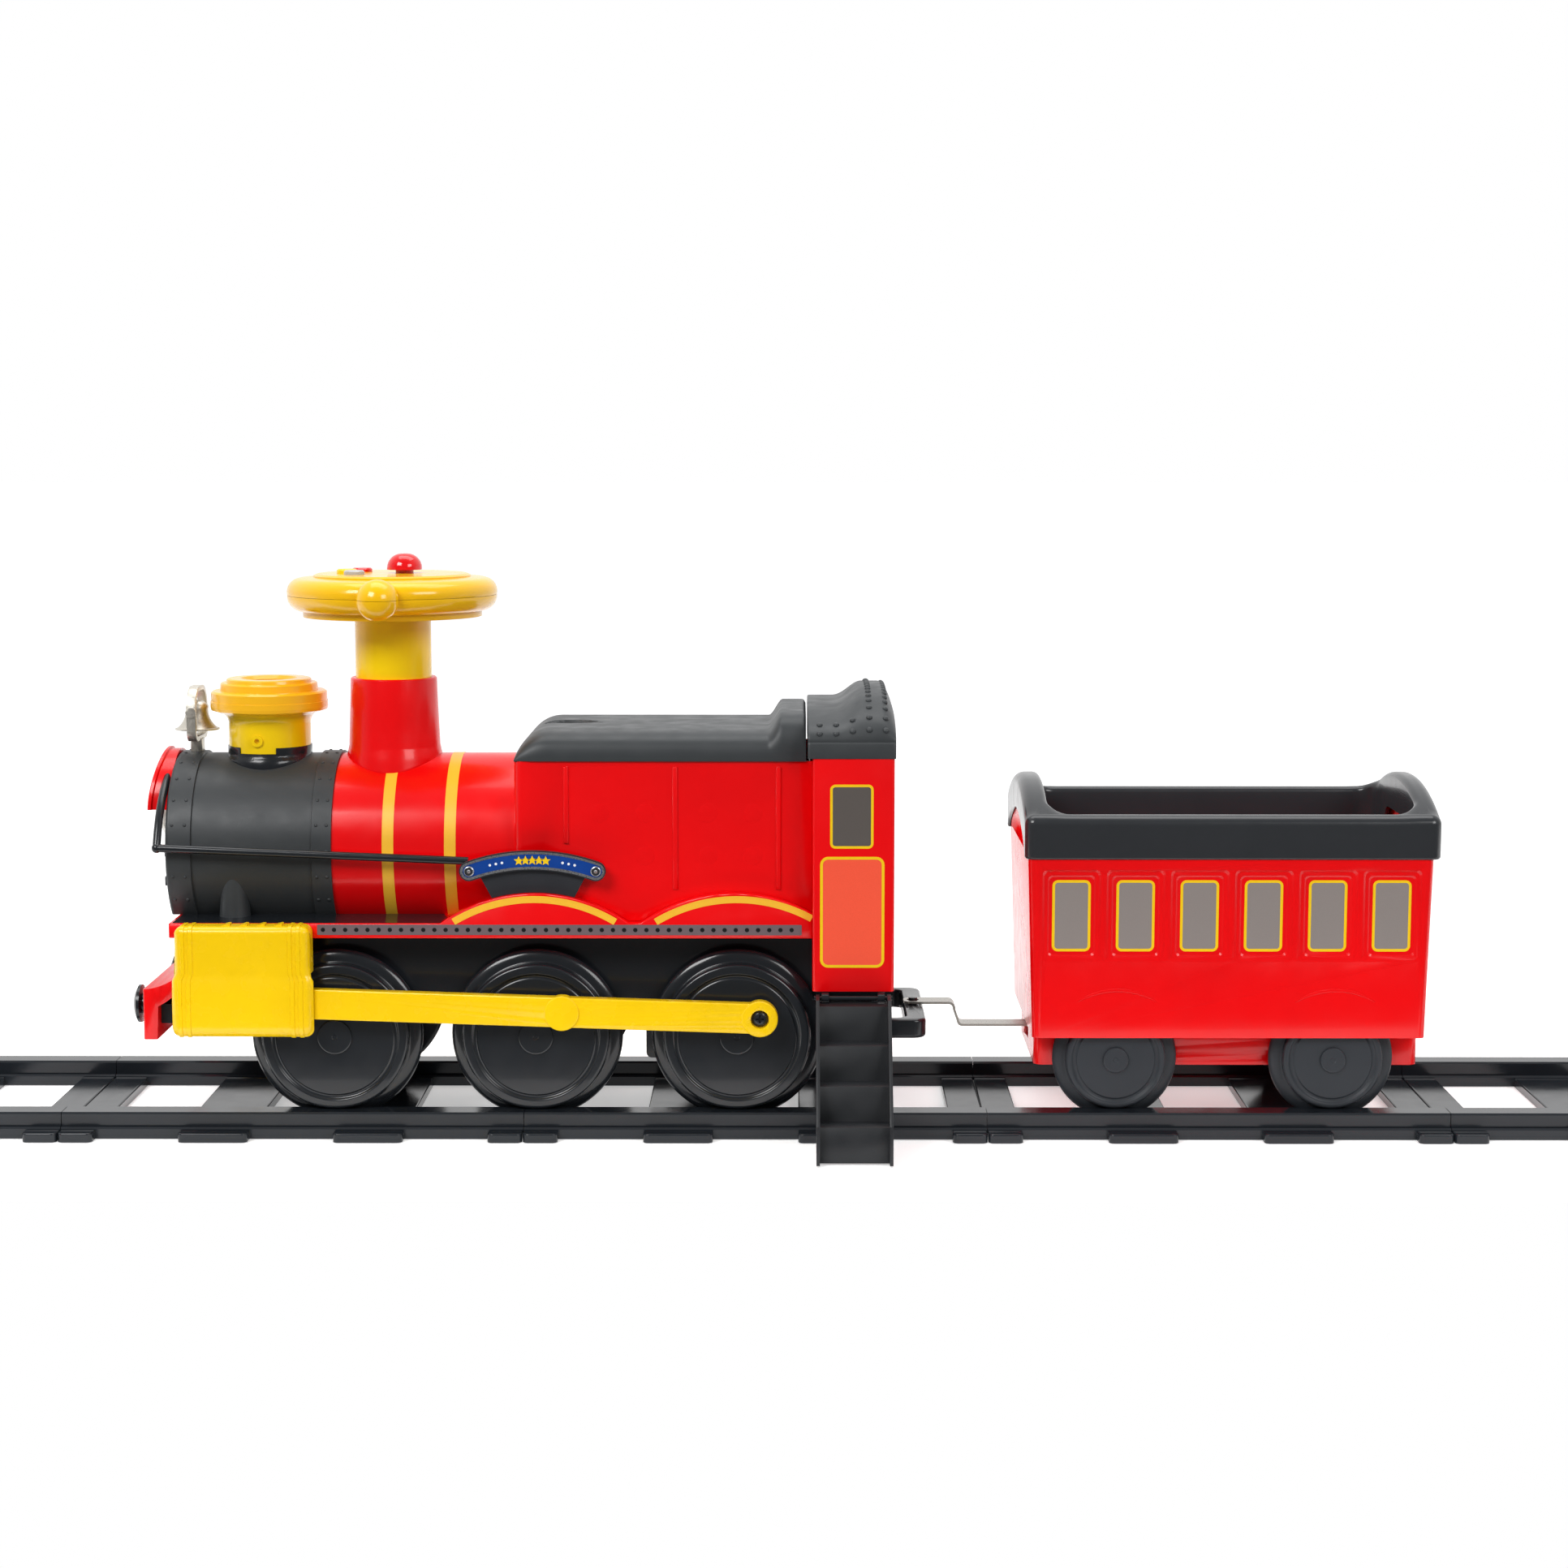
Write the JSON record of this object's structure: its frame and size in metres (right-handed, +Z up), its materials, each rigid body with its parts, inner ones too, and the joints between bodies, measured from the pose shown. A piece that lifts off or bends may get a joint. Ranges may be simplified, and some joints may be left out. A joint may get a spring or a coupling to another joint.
{
  "type": "electric train set",
  "caption": "Ride-on battery steam locomotive with seat, steering wheel and open carriage on a straight sectional track.",
  "frame": {"origin": "on the floor at the middle of the five track sections, midway between the rails", "axes": "+X along the track towards the carriage (the locomotive faces -X), +Y to the locomotive's right, +Z up"},
  "size_m": [2.0314, 0.432, 0.4992],
  "materials": {
    "track_plastic": "moulded black-grey plastic with a soft gloss",
    "red_plastic": "glossy bright red moulded plastic",
    "yellow_plastic": "glossy warm yellow moulded plastic",
    "black_plastic": "glossy black moulded plastic",
    "grey_plastic": "satin charcoal plastic with a fine grain",
    "wheel_plastic": "glossy black wheel plastic",
    "steel": "cold rolled steel strip and rod",
    "bell_metal": "satin champagne silver plating",
    "lens_plastic": "frosted clear lamp lens",
    "nameplate_face": "charcoal plate with a printed blue band and silver border",
    "battery_case": "battery case plastic",
    "motor_metal": "pressed steel motor can",
    "gear_plastic": "natural nylon",
    "circuit_board": "green board with a speaker",
    "grey_button": "glossy grey button",
    "red_button": "glossy red button"
  },
  "bodies": {
    "track": {"track_section_1": "track_plastic", "track_section_2": "track_plastic", "track_section_3": "track_plastic", "track_section_4": "track_plastic", "track_section_5": "track_plastic"},
    "front_wheelset": {"front_wheels": "wheel_plastic", "front_axle": "steel"},
    "middle_wheelset": {"middle_wheels": "wheel_plastic", "middle_axle": "steel"},
    "rear_wheelset": {"rear_wheels": "wheel_plastic", "rear_axle": "steel", "drive_gear": "gear_plastic", "crank_pins": "black_plastic"},
    "motor_shaft": {"motor_pinion": "gear_plastic"},
    "rod_left": {"side_rod_left": "yellow_plastic"},
    "rod_right": {"side_rod_right": "yellow_plastic"},
    "steering": {"steering_column": "yellow_plastic", "wheel_lower": "yellow_plastic", "wheel_upper": "yellow_plastic", "wheel_panel": "yellow_plastic", "sound_board": "circuit_board"},
    "horn": {"horn_button": "red_button"},
    "button_left": {"sound_button_left": "grey_button"},
    "button_middle": {"sound_button_middle": "yellow_plastic"},
    "button_right": {"sound_button_right": "red_button"},
    "bell": {"bell": "bell_metal"},
    "seat": {"seat": "grey_plastic"},
    "steps_left": {"steps_left": "black_plastic"},
    "steps_right": {"steps_right": "black_plastic"},
    "carriage": {"carriage_body": "red_plastic", "carriage_rim": "black_plastic", "carriage_frame": "red_plastic"},
    "carriage_front_wheelset": {"carriage_front_wheelset": "wheel_plastic"},
    "carriage_rear_wheelset": {"carriage_rear_wheelset": "wheel_plastic"},
    "hitch": {"hitch_bar": "steel"},
    "loco": {"battery": "battery_case", "bell_yoke": "bell_metal", "boiler_shell": "red_plastic", "buffer_beam": "red_plastic", "buffers": "black_plastic", "cab_body": "red_plastic", "cab_roof": "grey_plastic", "chassis": "black_plastic", "chimney": "yellow_plastic", "chimney_collar": "black_plastic", "cylinder_cover_left": "yellow_plastic", "cylinder_cover_right": "yellow_plastic", "footplate": "red_plastic", "gearbox": "black_plastic", "handrail": "black_plastic", "headlamp": "lens_plastic", "lamp_hood": "red_plastic", "motor": "motor_metal", "nameplates": "nameplate_face", "saddle_body": "red_plastic", "smokebox": "grey_plastic", "smokebox_door": "grey_plastic", "steering_collar": "red_plastic", "step_hinges": "black_plastic", "tow_bar": "black_plastic"}
  },
  "joints": [
    {"name": "loco_travel", "type": "slide", "parent": "track", "child": "loco", "axis": [1, 0, 0], "range_m": [-0.4, 0.35]},
    {"name": "carriage_travel", "type": "slide", "parent": "track", "child": "carriage", "axis": [1, 0, 0], "range_m": [-0.41, 0.36]},
    {"name": "front_wheels_turn", "type": "hinge", "parent": "loco", "child": "front_wheelset", "pos_m": [-0.364, 0, 0.086], "axis": [0, 1, 0], "continuous": true},
    {"name": "middle_wheels_turn", "type": "hinge", "parent": "loco", "child": "middle_wheelset", "pos_m": [-0.19, 0, 0.086], "axis": [0, 1, 0], "continuous": true},
    {"name": "rear_wheels_turn", "type": "hinge", "parent": "loco", "child": "rear_wheelset", "pos_m": [-0.016, 0, 0.086], "axis": [0, 1, 0], "continuous": true},
    {"name": "carriage_front_wheels_turn", "type": "hinge", "parent": "carriage", "child": "carriage_front_wheelset", "pos_m": [0.312, 0, 0.0655], "axis": [0, 1, 0], "continuous": true},
    {"name": "carriage_rear_wheels_turn", "type": "hinge", "parent": "carriage", "child": "carriage_rear_wheelset", "pos_m": [0.5, 0, 0.0655], "axis": [0, 1, 0], "continuous": true},
    {"name": "motor_shaft_turn", "type": "hinge", "parent": "loco", "child": "motor_shaft", "pos_m": [-0.052, 0, 0.086], "axis": [0, 1, 0], "continuous": true},
    {"name": "rod_left_pivot", "type": "hinge", "parent": "rear_wheelset", "child": "rod_left", "pos_m": [0.004, -0.117, 0.1056], "axis": [0, 1, 0], "continuous": true},
    {"name": "rod_right_pivot", "type": "hinge", "parent": "rear_wheelset", "child": "rod_right", "pos_m": [0.004, 0.117, 0.1056], "axis": [0, 1, 0], "continuous": true},
    {"name": "steering_turn", "type": "hinge", "parent": "loco", "child": "steering", "pos_m": [-0.322, 0, 0.36], "axis": [0, 0, 1], "range_deg": [-45, 45]},
    {"name": "bell_swing", "type": "hinge", "parent": "loco", "child": "bell", "pos_m": [-0.4976, 0, 0.3604], "axis": [0, 1, 0], "range_deg": [-25, 25]},
    {"name": "seat_lift", "type": "slide", "parent": "loco", "child": "seat", "axis": [0, 0, 1], "range_m": [0, 0.12]},
    {"name": "steps_left_fold", "type": "hinge", "parent": "loco", "child": "steps_left", "pos_m": [0.084, -0.1215, 0.124], "axis": [-1, 0, 0], "range_deg": [0, 85]},
    {"name": "steps_right_fold", "type": "hinge", "parent": "loco", "child": "steps_right", "pos_m": [0.084, 0.1215, 0.124], "axis": [1, 0, 0], "range_deg": [0, 85]},
    {"name": "hitch_lift", "type": "hinge", "parent": "carriage", "child": "hitch", "pos_m": [0.252, 0, 0.078], "axis": [0, 1, 0], "range_deg": [0, 20]},
    {"name": "horn_press", "type": "slide", "parent": "steering", "child": "horn", "axis": [0, 0, 1], "range_m": [-0.0025, 0], "stiffness_N_per_m": 400, "springref_m": 0.001},
    {"name": "button_left_press", "type": "slide", "parent": "steering", "child": "button_left", "axis": [0, 0, 1], "range_m": [-0.0025, 0], "stiffness_N_per_m": 400, "springref_m": 0.001},
    {"name": "button_middle_press", "type": "slide", "parent": "steering", "child": "button_middle", "axis": [0, 0, 1], "range_m": [-0.0025, 0], "stiffness_N_per_m": 400, "springref_m": 0.001},
    {"name": "button_right_press", "type": "slide", "parent": "steering", "child": "button_right", "axis": [0, 0, 1], "range_m": [-0.0025, 0], "stiffness_N_per_m": 400, "springref_m": 0.001}
  ],
  "couplings": [
    {"joint": "carriage_travel", "follows": "loco_travel", "ratio": 1},
    {"joint": "front_wheels_turn", "follows": "loco_travel", "rad_per_m": 15.699},
    {"joint": "middle_wheels_turn", "follows": "loco_travel", "rad_per_m": 15.699},
    {"joint": "rear_wheels_turn", "follows": "loco_travel", "rad_per_m": 15.699},
    {"joint": "carriage_front_wheels_turn", "follows": "loco_travel", "rad_per_m": 23.148},
    {"joint": "carriage_rear_wheels_turn", "follows": "loco_travel", "rad_per_m": 23.148},
    {"joint": "motor_shaft_turn", "follows": "loco_travel", "rad_per_m": -47.096},
    {"joint": "rod_left_pivot", "follows": "loco_travel", "rad_per_m": -15.699},
    {"joint": "rod_right_pivot", "follows": "loco_travel", "rad_per_m": -15.699}
  ]
}
